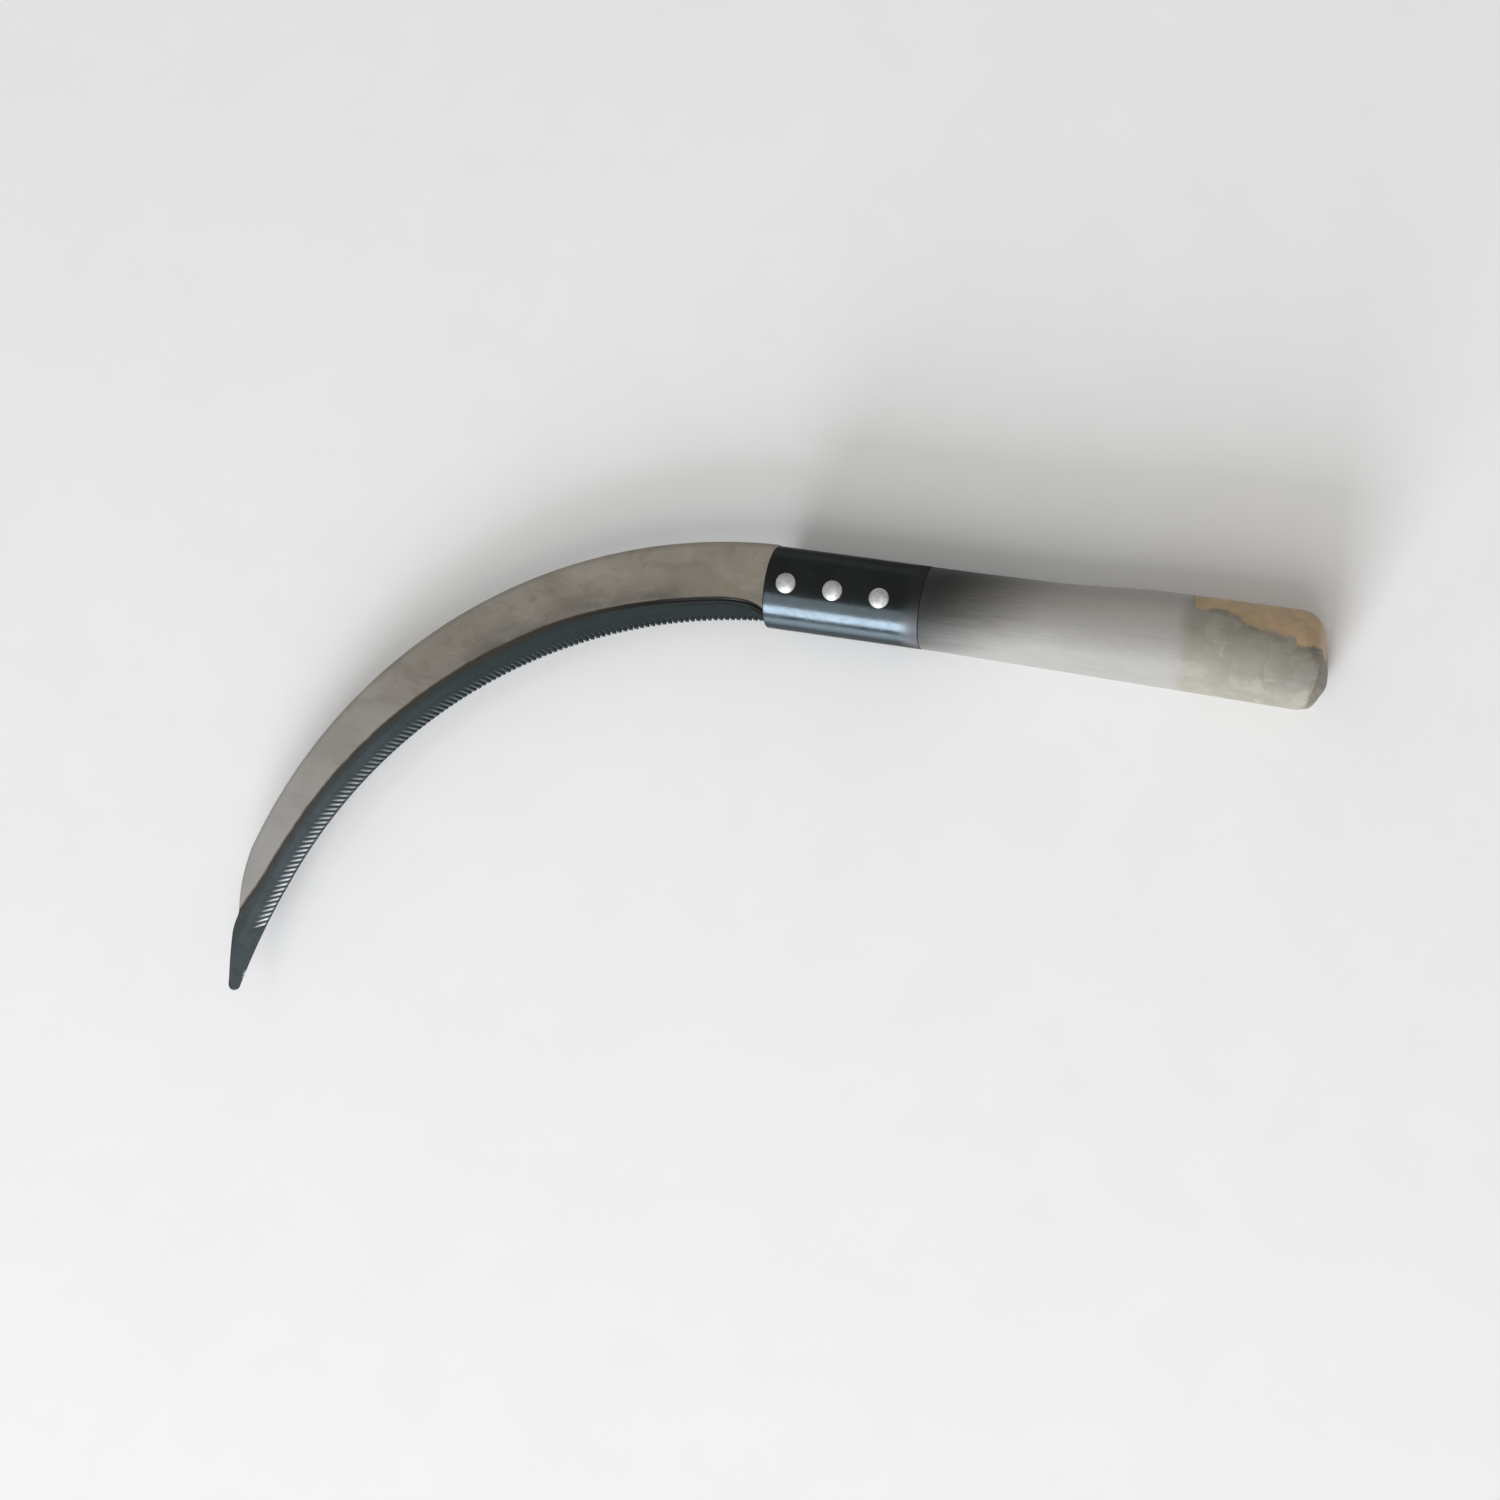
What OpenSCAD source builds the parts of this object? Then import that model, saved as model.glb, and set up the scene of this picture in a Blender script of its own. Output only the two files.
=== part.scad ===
// Serrated hand sickle: a curved steel blade whose flat tang sits in a sawn kerf in a turned wooden handle,
// held by a steel tube ferrule and three rivets that pass through tube, wood and tang.
// Millimetres. Origin at the centre of the flat butt end of the handle.
// +X runs out of the butt along the handle's axis, +Y towards the blade's spine,
// +Z up out of its toothed face.

/* [Handle] */
// Length from the ferrule's mouth to the butt
handle_len = 187.5; // [170:0.5:200]
// Diameter of the butt
butt_d = 32.6; // [30:0.2:36]
// Radius of the rounded edge round the butt
butt_round = 6; // [3:0.5:8]
// How far the end grain sits inside the ferrule's mouth
mouth_recess = 0.8; // [0.4:0.1:3]

/* [Ferrule] */
// Outside diameter of the steel tube
ferrule_d = 28; // [26:0.2:30]
// Length of the steel tube
ferrule_len = 53.5; // [53:0.5:62]
// Wall of the steel tube
ferrule_wall = 1; // [0.8:0.1:1.4]

/* [Blade] */
// Thickness of the blade and its tang
blade_t = 1.6; // [1.4:0.1:2.4]
// Radius of the toothed inner edge
edge_r = 181.9; // [181:0.1:183]
// Radius of the spine
spine_r = 186; // [185:0.1:187]
// Width of the ground band along the edge
bevel_w = 9.3; // [7:0.1:11]
// Thickness left at the very edge
edge_t = 0.35; // [0.3:0.05:0.5]

/* [Teeth] */
// Spacing of the teeth along the edge
tooth_pitch = 2; // [1.9:0.05:2.6]
// Length of edge that carries teeth
toothed_len = 218; // [120:2:222]
// Width of the strip of grooves across the band
groove_reach = 3.8; // [2.6:0.1:4.4]
// Angle between a groove and the edge
groove_lean = 62; // [55:1:75]

/* [Rivets] */
// Diameter of the domed heads
head_d = 6.8; // [6:0.1:7.6]
// Height of the domed heads above the ferrule's crest
head_h = 1.6; // [1.2:0.1:2.2]
// Diameter of the shanks
shank_d = 4; // [3:0.2:4.6]
// Spacing of the rivets along the handle
rivet_pitch = 16.1; // [14:0.1:17]

/* [Hidden] */
$fn = 96;

mouth_x = -handle_len;
ferrule_r = ferrule_d / 2;
spigot_r = ferrule_r - ferrule_wall;
butt_r = butt_d / 2;

// Centres of the two arcs of the blade, measured from the centre of the ferrule's mouth
edge_c = [mouth_x + 11.7, -193.4];
spine_c = [mouth_x + 4.6, -171.6];

// The handle's neck behind the ferrule is a shade under the tube, then swells to the butt
neck_gap = 0.1;
swell_start = 68;
swell_end = 168;
swell_steps = 16;

// Tang and the kerf sawn for it
tang_len = 50;
tang_root_w = 21;
tang_end_w = 16;
tang_corner = 3;
kerf_w = blade_t + 0.1;
kerf_len = tang_len + 2;

// Rivet row: how far its front rivet sits behind the mouth and above the axis, and its drop from rivet to rivet
rivet_inset = 7.5;
rivet_lift = 1;
rivet_fall = 0.35;
tail_d = head_d - 0.6;
tail_h = 1;
head_side = 0.2;

ferrule_chamfer = 0.3;
cut = 1;

blade_color = [0.53, 0.50, 0.46];
handle_color = [0.72, 0.70, 0.66];
ferrule_color = [0.08, 0.10, 0.13];
rivet_color = [0.78, 0.77, 0.76];

// Band along the edge: depth removed at the edge, and the slope up to the full thickness
bevel_drop = blade_t - edge_t;
top_z = blade_t / 2;
first_tooth = 94.8;
tooth_step = tooth_pitch / edge_r * 180 / PI;
tooth_count = floor(toothed_len / tooth_pitch) + 1;
groove_half_angle = 50;
groove_below = 0.25;
groove_start = -0.8;
groove_overrun = 1.1;

// Where the band meets the handle its border dives to the edge
band_root = 94;
band_end = 176;
band_border = 7.7;
band_dive = 5.2;
band_dive_start = 2.1;
band_widen_start = 20;
band_widen_len = 55;
band_step = 1;

// Tip, as offsets from the centre of the edge's arc, with how far the curves between them stand out
tip_leave = edge_c + [-185, 75.4];
tip_notch = edge_c + [-185.6, 54.1];
tip_shoulder = edge_c + [-187.1, 47];
tip_side = edge_c + [-186.1, 30.8];
tip_nose_c = edge_c + [-183.8, 29.1];
tip_nose_r = 2.2;
tip_edge = edge_c + [-168.65, 68.14];
tip_rises = [1, 0.3, 0.2, -0.9];
tip_steps = 8;
tip_reach = 60;
nose_from = 173;
nose_to = 338;
nose_steps = 15;

function smooth(t) = let(u = min(max(t, 0), 1)) u * u * (3 - 2 * u);

function on_arc(c, r, a) = c + r * [cos(a), sin(a)];

// Points of a shallow arc from p to q that stands out by rise to the right of the way from p to q
function bow(p, q, rise, n) = [
    for (i = [0:n])
        let(t = i / n, d = q - p, side = [d[1], -d[0]] / norm(d))
        p + t * d + 4 * rise * t * (1 - t) * side
];

// Handle radius at a distance behind the mouth
function swell(x) = ferrule_r - neck_gap
    + (butt_r - ferrule_r + neck_gap) * smooth((x - swell_start) / (swell_end - swell_start));

// Width of the ground band at an angle round the edge's arc
function band_at(a) = let(s = (a - band_root) * PI / 180 * edge_r)
    min(bevel_w, band_border * (1 - exp(-(s + band_dive_start) / band_dive)))
    + max(0, bevel_w - band_border) * smooth((s - band_widen_start) / band_widen_len);

// Lies a revolved profile (radius, length) down along +X
module along_x() {
    rotate([0, 90, 0]) rotate_extrude() children();
}

function rivet_x(i) = mouth_x + rivet_inset + i * rivet_pitch;
function rivet_y(i) = rivet_lift - i * rivet_fall;

module rivet_bores(from_z, to_z) {
    for (i = [0:2])
        translate([rivet_x(i), rivet_y(i), from_z])
            cylinder(d = shank_d, h = to_z - from_z);
}

// Outline of the tip: the waist where the body ends, the slightly proud point and the rounded nose
module tip_region() {
    polygon(concat(
        [tip_edge + [tip_reach, 0], [tip_edge[0] + tip_reach, tip_leave[1]], tip_leave],
        bow(tip_leave, tip_notch, tip_rises[0], tip_steps),
        bow(tip_notch, tip_shoulder, tip_rises[1], tip_steps),
        bow(tip_shoulder, tip_side, tip_rises[2], tip_steps),
        [for (i = [0:nose_steps - 1])
            on_arc(tip_nose_c, tip_nose_r, nose_from + (nose_to - nose_from) * i / nose_steps)],
        bow(on_arc(tip_nose_c, tip_nose_r, nose_to), tip_edge, tip_rises[3], 2 * tip_steps)
    ));
}

module tang_outline() {
    polygon([
        [mouth_x - cut, -tang_root_w / 2],
        [mouth_x, -tang_root_w / 2],
        [mouth_x + tang_len, -tang_end_w / 2 + tang_corner],
        [mouth_x + tang_len, tang_end_w / 2 - tang_corner],
        [mouth_x, tang_root_w / 2],
        [mouth_x - cut, tang_root_w / 2]
    ]);
}

module blade_outline() {
    reach = spine_r + edge_r;
    intersection() {
        difference() {
            translate(spine_c) circle(r = spine_r);
            translate(edge_c) circle(r = edge_r);
        }
        union() {
            translate([mouth_x - reach, tip_leave[1]]) square([reach, reach]);
            tip_region();
        }
    }
    tang_outline();
}

// Wedge swept round the edge's arc that thins the band down to the edge
module band_cut() {
    slope = bevel_drop / bevel_w;
    intersection() {
        translate(edge_c)
            rotate([0, 0, band_root])
                rotate_extrude(angle = band_end - band_root)
                    polygon([
                        [edge_r - cut, top_z - bevel_drop - cut * slope],
                        [edge_r + bevel_w, top_z],
                        [edge_r + bevel_w, top_z + cut],
                        [edge_r - cut, top_z + cut]
                    ]);
        linear_extrude(height = 4 * blade_t, center = true)
            polygon(concat(
                [for (a = [band_end:-band_step:band_root]) on_arc(edge_c, edge_r - 2 * cut, a)],
                [for (a = [band_root:band_step:band_end]) on_arc(edge_c, edge_r + band_at(a), a)]
            ));
    }
}

// One V groove, its floor rising inward from just below the edge until it runs out on the band
module groove() {
    low_z = -top_z - groove_below;
    high_z = top_z - bevel_drop * (1 - groove_reach / bevel_w);
    rise = (high_z - low_z) / groove_reach;
    run = (groove_reach - groove_start) / sin(groove_lean);
    pitch_up = atan(rise * sin(groove_lean));
    depth = 2 * blade_t;
    half = tan(groove_half_angle) * depth;
    rotate([0, 0, 90 - groove_lean])
        translate([groove_start / sin(groove_lean), 0, low_z + groove_start * rise])
            rotate([0, -pitch_up, 0])
                rotate([90, 0, 90])
                    linear_extrude(height = run * groove_overrun)
                        polygon([[0, 0], [half, depth], [-half, depth]]);
}

module grooves() {
    for (i = [0:tooth_count - 1])
        translate(edge_c)
            rotate([0, 0, first_tooth + i * tooth_step])
                translate([edge_r, 0, 0])
                    groove();
}

module blade() {
    color(blade_color)
        difference() {
            linear_extrude(height = blade_t, center = true) blade_outline();
            band_cut();
            grooves();
            rivet_bores(-blade_t, blade_t);
        }
}

module handle() {
    color(handle_color)
        difference() {
            along_x() {
                polygon(concat(
                    [[0, mouth_x + mouth_recess], [spigot_r, mouth_x + mouth_recess]],
                    [[spigot_r, mouth_x + ferrule_len], [swell(ferrule_len), mouth_x + ferrule_len]],
                    [for (i = [0:swell_steps])
                        let(x = swell_start + (swell_end - swell_start) * i / swell_steps)
                        [swell(x), mouth_x + x]],
                    [[butt_r, -butt_round], [butt_r - butt_round, 0], [0, 0]]
                ));
                translate([butt_r - butt_round, -butt_round]) circle(r = butt_round);
            }
            translate([mouth_x - cut, -butt_d, -kerf_w / 2])
                cube([kerf_len + cut, 2 * butt_d, kerf_w]);
            rivet_bores(-butt_d, butt_d);
        }
}

module ferrule() {
    color(ferrule_color)
        difference() {
            along_x()
                polygon([
                    [spigot_r, mouth_x],
                    [ferrule_r - ferrule_chamfer, mouth_x],
                    [ferrule_r, mouth_x + ferrule_chamfer],
                    [ferrule_r, mouth_x + ferrule_len - ferrule_chamfer],
                    [ferrule_r - ferrule_chamfer, mouth_x + ferrule_len],
                    [spigot_r, mouth_x + ferrule_len]
                ]);
            rivet_bores(-butt_d, butt_d);
        }
}

// Low dome of a given base diameter and height standing on a short straight side
module dome(d, h, side) {
    rise = h - side;
    ball_r = (d * d / 4 + rise * rise) / (2 * rise);
    intersection() {
        translate([0, 0, h - ball_r]) sphere(r = ball_r);
        translate([0, 0, -cut]) cylinder(d = d, h = h + 2 * cut);
    }
}

// Headed rivet: domed head on the toothed side, peened tail on the back, both seated on the round tube
module rivet(i) {
    translate([rivet_x(i), rivet_y(i), 0]) {
        cylinder(d = shank_d, h = 2 * (ferrule_r + head_side), center = true);
        difference() {
            union() {
                translate([0, 0, ferrule_r]) dome(head_d, head_h, head_side);
                mirror([0, 0, 1]) translate([0, 0, ferrule_r]) dome(tail_d, tail_h, head_side);
            }
            translate([0, -rivet_y(i), 0])
                rotate([0, 90, 0]) cylinder(r = ferrule_r, h = 2 * head_d, center = true);
        }
    }
}

module front_rivet() {
    color(rivet_color) rivet(0);
}

module middle_rivet() {
    color(rivet_color) rivet(1);
}

module rear_rivet() {
    color(rivet_color) rivet(2);
}

blade();
handle();
ferrule();
front_rivet();
middle_rivet();
rear_rivet();
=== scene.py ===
"""Serrated hand sickle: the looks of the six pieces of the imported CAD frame.

Lengths are in millimetres and angles in degrees, in the frame's own axes: the blade lies in the XY plane,
+X runs out of the butt, +Y towards the spine and +Z out of the toothed face. MM turns lengths into metres, in
which the frame, the lights and the camera are placed.
"""
import math

import bmesh
import bpy
import numpy as np
from mathutils import Matrix, Vector, noise


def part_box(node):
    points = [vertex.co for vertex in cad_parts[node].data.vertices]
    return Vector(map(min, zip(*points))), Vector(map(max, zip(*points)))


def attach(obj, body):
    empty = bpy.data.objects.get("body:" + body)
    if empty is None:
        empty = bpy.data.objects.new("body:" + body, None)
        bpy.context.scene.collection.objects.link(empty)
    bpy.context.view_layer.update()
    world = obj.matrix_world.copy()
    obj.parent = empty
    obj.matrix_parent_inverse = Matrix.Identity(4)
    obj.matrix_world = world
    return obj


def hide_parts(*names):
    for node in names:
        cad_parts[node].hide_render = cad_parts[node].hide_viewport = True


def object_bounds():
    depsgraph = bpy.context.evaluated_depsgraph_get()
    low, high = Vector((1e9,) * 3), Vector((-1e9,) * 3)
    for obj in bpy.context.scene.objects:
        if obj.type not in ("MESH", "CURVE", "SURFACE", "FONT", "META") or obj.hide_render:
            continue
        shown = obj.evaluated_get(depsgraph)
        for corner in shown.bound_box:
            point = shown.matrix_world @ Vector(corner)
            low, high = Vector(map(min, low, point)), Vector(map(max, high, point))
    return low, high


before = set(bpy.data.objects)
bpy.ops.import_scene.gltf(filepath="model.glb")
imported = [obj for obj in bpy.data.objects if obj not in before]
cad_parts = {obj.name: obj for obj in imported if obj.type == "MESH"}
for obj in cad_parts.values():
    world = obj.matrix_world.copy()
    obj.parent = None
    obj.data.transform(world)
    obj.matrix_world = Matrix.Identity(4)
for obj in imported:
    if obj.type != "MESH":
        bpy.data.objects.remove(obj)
cad_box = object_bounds()

MM = 0.001

# ------------------------------------------------------------------ places taken from the frame
ferrule_lo, ferrule_hi = (Vector(c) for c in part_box("ferrule"))
handle_hi = Vector(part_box("handle")[1])
MOUTH = ferrule_lo.x / MM
FERRULE_END = ferrule_hi.x / MM
FERRULE_R = ferrule_hi.z / MM
BUTT = handle_hi.x / MM
BUTT_R = handle_hi.y / MM
RIVETS = []
for rivet_name in ("front_rivet", "middle_rivet", "rear_rivet"):
    rivet_lo, rivet_hi = (Vector(c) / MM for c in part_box(rivet_name))
    RIVETS.append((rivet_name, (rivet_lo.x + rivet_hi.x) / 2, (rivet_lo.y + rivet_hi.y) / 2, rivet_hi.z))

# ------------------------------------------------------------------ sizes shared with the CAD solids
# Angles on the blade go round EDGE_C, the centre of its toothed arc, from +X towards +Y
WALL = 1.0  # the ferrule's wall
EDGE_R = 181.9  # radius of the toothed inner edge
SPINE_R = 186.0
EDGE_C = np.array([MOUTH + 11.7, -193.4])
SPINE_C = np.array([MOUTH + 4.6, -171.6])
HALF_T = 0.8  # half the blade's thickness
BEVEL_W = 9.3  # width of the ground band
BEVEL_DROP = 1.25  # how far the band's face falls from its border to the edge
BAND_START = 94.0  # angle where the band leaves the edge by the handle
ROOT_BAND_W = 7.7  # width that the band soon has there, before it grows to BEVEL_W
FIRST_TOOTH = 94.8  # angle
TEETH = 110
PITCH = 2.0
STEP = math.degrees(PITCH / EDGE_R)
GROOVE_LEAN = 62.0  # angle between a groove and the edge
TANG_L = 50
TANG_HALF_ROOT = 10.5
TANG_HALF_END = 8.0
TANG_CORNER = 3.0
KERF_L = 52
KERF_W = 1.7

# ------------------------------------------------------------------ sizes of the looks alone
BACK_LIP = 0.07  # metal left under the deepest groove
SCOOP_DEPTH = 0.31
FINE_W = 4.4  # width of the strip of fine rows that holds the grooves
RIM = 0.4  # width of the softened rim at the spine
TURN_SEG = 160  # sides of the handle and of the ferrule
STAIN_START = 56.0  # where the handle's stain starts to wear off, from the mouth


def smooth(t):
    t = min(max(t, 0.0), 1.0)
    return t * t * (3 - 2 * t)


def lerp(a, b, t):
    return a + (b - a) * t


def wave(x, y, z):
    """Repeatable noise from -1 to 1."""
    return noise.noise(Vector((x, y, z)))


# ------------------------------------------------------------------ objects
def new_object(name, verts, faces, attributes=None):
    """Object in the scene from vertices in millimetres and float attributes of its vertices."""
    mesh = bpy.data.meshes.new(name)
    mesh.from_pydata([(x * MM, y * MM, z * MM) for x, y, z in verts], [], faces)
    set_attributes(mesh, attributes or {})
    mesh.update()
    obj = bpy.data.objects.new(name, mesh)
    bpy.context.scene.collection.objects.link(obj)
    return obj


def set_attributes(mesh, attributes):
    for key, values in attributes.items():
        mesh.attributes.new(key, "FLOAT", "POINT").data.foreach_set("value", [float(v) for v in values])


def finish_mesh(obj, sharp_deg):
    """Turns the faces outwards and shades them smooth but for edges sharper than sharp_deg."""
    bm = bmesh.new()
    bm.from_mesh(obj.data)
    bmesh.ops.recalc_face_normals(bm, faces=bm.faces)
    limit = math.radians(sharp_deg)
    for edge in bm.edges:
        edge.smooth = len(edge.link_faces) == 2 and edge.calc_face_angle(0) < limit
    for face in bm.faces:
        face.smooth = True
    bm.to_mesh(obj.data)
    bm.free()


def take_place(obj, node):
    """Puts the object in place of the CAD node."""
    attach(obj, "root")
    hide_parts(node)
    return obj


def combine(obj, operation, tool):
    """Joins the tool to the object, or cuts it out, and removes the tool."""
    modifier = obj.modifiers.new(tool.name, "BOOLEAN")
    modifier.operation = operation
    modifier.solver = "MANIFOLD"
    modifier.object = tool
    graph = bpy.context.evaluated_depsgraph_get()
    result = bpy.data.meshes.new_from_object(
        obj.evaluated_get(graph), preserve_all_data_layers=True, depsgraph=graph)
    obj.modifiers.clear()
    obj.data = result
    bpy.data.objects.remove(tool)


# ------------------------------------------------------------------ the blade's outline
def bow(p, q, rise, n):
    """Points of a shallow bow from p to q that rises to its right."""
    p, q = np.array(p, float), np.array(q, float)
    d = q - p
    side = np.array([d[1], -d[0]]) / np.linalg.norm(d)
    return [p + t * d + 4 * rise * t * (1 - t) * side for t in (i / n for i in range(n + 1))]


def polar(p):
    return math.degrees(math.atan2(p[1], p[0])), math.hypot(p[0], p[1])


def ray(deg):
    return np.array([math.cos(math.radians(deg)), math.sin(math.radians(deg))])


def blade_outline():
    """Outer and inner borders as radius over angle, and the tip's angle, all round the edge's arc centre.

    The outline follows the spine's arc, leaves it above a shallow notch, comes down over a shoulder to the
    round nose, and goes back up the inside to where the toothed arc starts.
    """
    leave, notch, shoulder, side = (-185.0, 75.4), (-185.6, 54.1), (-187.1, 47.0), (-186.1, 30.8)
    nose_c, nose_r, nose_from, nose_to = np.array([-183.8, 29.1]), 2.195, 173, 338
    arc_start = (-168.65, 68.14)
    spine = [SPINE_C + SPINE_R * ray(deg) - EDGE_C for deg in np.arange(84.0, 180.0, 0.25)]
    outer = [p for p in spine if p[1] > leave[1] + 0.2]
    outer += bow(leave, notch, 1.0, 16) + bow(notch, shoulder, 0.3, 10)[1:] + bow(shoulder, side, 0.2, 12)[1:]
    nose = [nose_c + nose_r * ray(deg) for deg in np.linspace(nose_from, nose_to, 80)]
    loop = [polar(p) for p in outer + nose + bow(nose[-1], arc_start, -0.9, 30)[1:]]
    tip = max(range(len(loop)), key=lambda i: loop[i][0])
    out_part = sorted(loop[: tip + 1])
    in_part = sorted(loop[tip:])
    inner = [(80.0, EDGE_R), (in_part[0][0] - 0.01, EDGE_R)] + in_part
    return np.array(out_part), np.array(inner), loop[tip][0]


OUTER, INNER, PHI_MAX = blade_outline()


def r_out(phi):
    """Radius of the outer border, its corners eased over about a millimetre short of the nose."""
    ease = 0.35 * smooth((169.5 - phi) / 2)
    shifts = (-1, -0.5, 0, 0.5, 1)
    return sum(float(np.interp(phi + k * ease, OUTER[:, 0], OUTER[:, 1])) for k in shifts) / len(shifts)


def r_in(phi):
    return float(np.interp(phi, INNER[:, 0], INNER[:, 1]))


# ------------------------------------------------------------------ the blade's face
def band_at(phi):
    """Width of the ground band: diving to the edge at the root, taking in the whole tip past the notch."""
    s = math.radians(phi - BAND_START) * EDGE_R
    dive = ROOT_BAND_W * (1 - math.exp(-max(s + 2.1, 0.6) / 5.2))
    tip = 2.2 * (max(phi - 157.0, 0.0) / 7.0) ** 2 - 0.2 * smooth((phi - 140) / 15)
    return dive + (BEVEL_W - ROOT_BAND_W) * smooth((s - 20) / 55) + tip


def plate_wave(x, y):
    """Slight waves of the whole plate."""
    p = Vector((x / 42.0, y / 42.0, 3.7))
    return 0.07 * noise.noise(p) + 0.02 * noise.noise(p * 3.1)


def band_height(w, wb=BEVEL_W):
    """Height of the face at a distance w from the edge: hollow-ground band, then the flat body."""
    full = max(wb, BEVEL_W)
    if w >= full:
        return HALF_T
    z = HALF_T - BEVEL_DROP * (1 - w / full)
    hollow = 0.06 * math.sin(math.pi * min(max(w / full, 0.0), 1.0))
    keen = 0.2 * max(0.0, 1 - w / 0.5) ** 2
    return z - hollow - keen


def lean_at(phi):
    """Angle between a groove and the edge, closing a little towards the tip."""
    return GROOVE_LEAN - 11.0 * smooth((phi - 100) / 58)


def groove_reach(phi):
    """How far the grooves reach in from the edge: furthest by the tip."""
    return 2.1 + 0.7 * smooth((phi - 94) / 13) + 1.3 * smooth((phi - 116) / 36)


def v_cut(u, w, phi, index, lean):
    """Plain V groove by the handle: its floor rises from just under the back face at the edge up to the band.

    Returns the height at u, the share of a pitch, and at w, and how far in the groove cuts the plate through.
    """
    below = lerp(0.30, 0.2, smooth((phi - 96) / 40)) * (1 + 0.3 * wave(index * 0.71, 4.2, 0.0))
    floor = -HALF_T - below
    slope = (band_height(groove_reach(phi)) - floor) / groove_reach(phi)
    flank = math.tan(math.radians(50))
    side = math.hypot((u - 0.5) * PITCH * math.sin(math.radians(lean)), 0.04) / flank
    return floor + slope * w + side, max(0.0, (-HALF_T + BACK_LIP - floor - side) / slope)


def scoop(u, w, base, phi, index):
    """Shallow scoop by the tip: a long flank turned to the tip, a short one back, closed off at the edge."""
    reach = groove_reach(phi) * (1 + 0.06 * wave(index * 0.83, 1.2, 5.0))
    inward = min(max((w - 0.45) / (reach - 0.45), 0.0), 1.0)
    start, floor, end = lerp(0.04, 0.34, inward ** 1.4), 0.68, lerp(0.96, 0.78, inward)
    if u < floor:
        shape = smooth((u - start) / (floor - start))
    else:
        shape = smooth((end - u) / (end - floor))
    deep = SCOOP_DEPTH * (1 + 0.15 * wave(index * 1.9, 7.7, 0.0))
    depth = min(base + HALF_T - BACK_LIP, deep) * smooth((w - 0.05) / 0.75) * (1 - inward ** 1.6)
    return base - depth * shape


# ------------------------------------------------------------------ the blade's mesh
FINE_ROWS = 18
BAND_ROWS = 5
BODY_ROWS = 12
MERGE = 6  # fine columns to one coarse column
LEAD_IN = 5  # pitches of fine columns before the first tooth
TIP_COLUMNS = 132
TOOTH_PHASES = [0, 0.1, 0.2, 0.3, 0.4, 0.46, 0.5, 0.56, 0.62, 0.7, 0.8, 0.9]


def blade_columns():
    """Edge angle, groove lean, tooth phase (None off the teeth) and tooth number of each fine column."""
    cols = []
    for i in range(-LEAD_IN, TEETH):
        jitter = 0.05 * wave(i * 1.37, 0.0, 9.1)
        for u in TOOTH_PHASES:
            phi = FIRST_TOOTH + (i + u - 0.5 + jitter * math.sin(math.pi * u)) * STEP
            cols.append((phi, lean_at(phi), u if i >= 0 else None, i))
    start = FIRST_TOOTH + (TEETH - 0.5) * STEP
    for k in range(TIP_COLUMNS + 1):
        phi = lerp(start, PHI_MAX - 0.002, math.sin(k / TIP_COLUMNS * math.pi / 2))
        cols.append((phi, lerp(lean_at(start), 90.0, smooth((phi - start) / 4.0)), None, TEETH))
    while (len(cols) - 1) % MERGE:
        cols.pop(0)
    return cols


class BladeSkin:
    """The blade's vertices and faces, with the measures that its material reads."""

    def __init__(self):
        self.verts = []
        self.faces = []
        self.attributes = {key: [] for key in ("across", "border", "along", "groove", "fade", "groove_gloss_and_painted_light")}

    def add(self, p, z, w, wb, phi, depth=0.0):
        """Vertex over point p, at w from the edge where the band is wb wide, in a groove of that depth."""
        x, y = p
        self.verts.append((x, y, z + plate_wave(x, y)))
        measures = {
            "across": w,
            "border": w - wb,
            "along": math.radians(phi - 93.6) * EDGE_R,
            "groove": depth,
            "fade": smooth((phi - 120) / 45),
            # Share of painted light on the groove flanks, growing towards the tip
            "groove_gloss_and_painted_light": smooth((phi - 130) / 34),
        }
        for key, value in measures.items():
            self.attributes[key].append(value)
        return len(self.verts) - 1


def fine_column(skin, phi, lean, u, index):
    """Leaning column of vertices over the grooves: those on the face, the two under it, and its inner end."""
    a = math.radians(phi)
    lean_a = a + math.radians(90 - lean)
    lean_way = np.array([math.cos(lean_a), math.sin(lean_a)])
    wb = band_at(phi)
    column_w = min(FINE_W, max(wb - 0.5, 0.5), 0.42 * (r_out(phi) - r_in(phi)) + 0.0005)
    start = EDGE_C + r_in(phi) * np.array([math.cos(a), math.sin(a)])
    to_scoop = smooth((phi - 112) / 34)
    w0 = 0.0
    if u is not None:
        w0 = min(v_cut(u, 0.0, phi, index, lean)[1] * (1 - to_scoop), 0.6 * column_w)
    sin_lean = math.sin(math.radians(lean))
    top = []
    for k in range(FINE_ROWS + 1):
        w = lerp(w0, column_w, (k / FINE_ROWS) ** 1.15)
        p = start + lean_way * (w / sin_lean)
        base = band_height(w, wb)
        z = base
        if u is not None:
            plain = min(base, v_cut(u, w, phi, index, lean)[0])
            z = lerp(plain, scoop(u, w, base, phi, index), to_scoop)
        z = max(z, -HALF_T + BACK_LIP)
        top.append(skin.add(p, z, w, wb, polar(p - EDGE_C)[0], base - z))
        if k == 0:
            first = p
    low = [skin.add(first, -HALF_T, w0, wb, phi), skin.add(p, -HALF_T, column_w, wb, polar(p - EDGE_C)[0])]
    return top, low, p


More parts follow.
